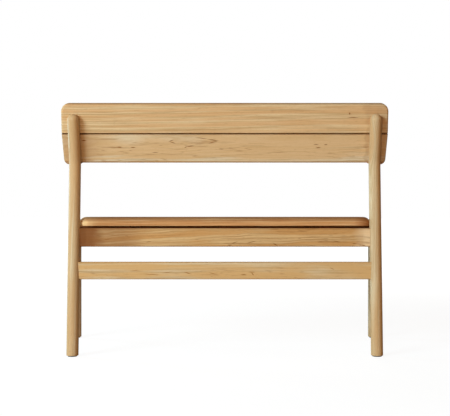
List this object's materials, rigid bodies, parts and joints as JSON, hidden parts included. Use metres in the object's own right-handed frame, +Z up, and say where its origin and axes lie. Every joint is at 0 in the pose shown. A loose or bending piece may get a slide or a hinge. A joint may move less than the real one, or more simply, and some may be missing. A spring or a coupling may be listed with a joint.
{
  "type": "bench",
  "caption": "Wooden bench with a slab seat on rails and round legs, and a back rest of two boards on the bent tops of the back legs.",
  "frame": {"origin": "on the floor, under the middle of the bench's bounding box", "axes": "+X along the bench, -Y toward the side that a sitter faces, +Z up"},
  "size_m": [1.171, 0.4875, 0.8459],
  "materials": {
    "oak": "oiled, satin",
    "turned_oak": "oiled, satin",
    "beech": "raw",
    "steel": "zinc plated",
    "nylon": "matte"
  },
  "bodies": {
    "root": {"back_leg_left": "turned_oak", "back_leg_right": "turned_oak", "front_leg_left": "turned_oak", "front_leg_right": "turned_oak", "back_board_upper": "oak", "back_board_lower": "oak", "seat_board": "oak", "rear_seat_rail": "oak", "front_seat_rail": "oak", "side_rail_left": "oak", "side_rail_right": "oak", "rear_stretcher": "oak", "seat_bearer_left": "oak", "seat_bearer_centre": "oak", "seat_bearer_right": "oak", "board_dowel_left_1": "beech", "board_dowel_left_2": "beech", "board_dowel_left_3": "beech", "board_dowel_left_4": "beech", "board_dowel_right_1": "beech", "board_dowel_right_2": "beech", "board_dowel_right_3": "beech", "board_dowel_right_4": "beech", "seat_screw_left_front": "steel", "seat_screw_left_back": "steel", "seat_screw_centre_front": "steel", "seat_screw_centre_back": "steel", "seat_screw_right_front": "steel", "seat_screw_right_back": "steel", "back_glide_left": "nylon", "back_glide_right": "nylon", "front_glide_left": "nylon", "front_glide_right": "nylon"}
  },
  "joints": []
}
